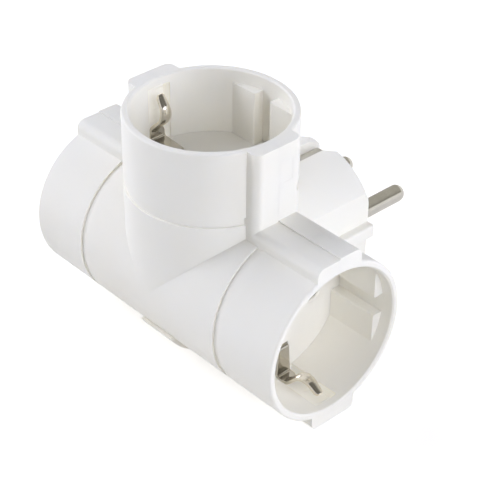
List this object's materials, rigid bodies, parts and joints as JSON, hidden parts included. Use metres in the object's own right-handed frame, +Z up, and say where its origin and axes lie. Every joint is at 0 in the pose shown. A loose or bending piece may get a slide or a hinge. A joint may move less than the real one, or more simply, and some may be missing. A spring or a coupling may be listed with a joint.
{
  "type": "multi socket adapter",
  "caption": "T-shaped mains adapter: deep round earthed sockets face left, right and up, and a round plug with pins stands out behind, so that several plugs share one wall socket.",
  "frame": {"origin": "middle of the plug's contact face, between the two pins", "axes": "+Y back along the plug pins, +Z up along the top socket, +X along the right socket"},
  "size_m": [0.088, 0.0804, 0.0676],
  "materials": {
    "housing": "glossy off-white moulded plastic",
    "face_plate": "satin off-white moulded plastic",
    "plated_contact": "nickel plated spring sheet, bright",
    "plated_pin": "nickel plated, turned",
    "brass_contact": "bare stamped brass"
  },
  "bodies": {
    "root": {"front_shell": "housing", "back_shell": "housing", "face_plate_top": "face_plate", "earth_clip_top": "plated_contact", "live_sleeve_top": "brass_contact", "neutral_sleeve_top": "brass_contact", "face_plate_right": "face_plate", "earth_clip_right": "plated_contact", "live_sleeve_right": "brass_contact", "neutral_sleeve_right": "brass_contact", "face_plate_left": "face_plate", "earth_clip_left": "plated_contact", "live_sleeve_left": "brass_contact", "neutral_sleeve_left": "brass_contact", "live_bar": "brass_contact", "neutral_bar": "brass_contact", "earth_bar": "brass_contact", "plug_earth_yoke": "plated_contact", "live_pin": "plated_pin", "neutral_pin": "plated_pin"}
  },
  "joints": []
}
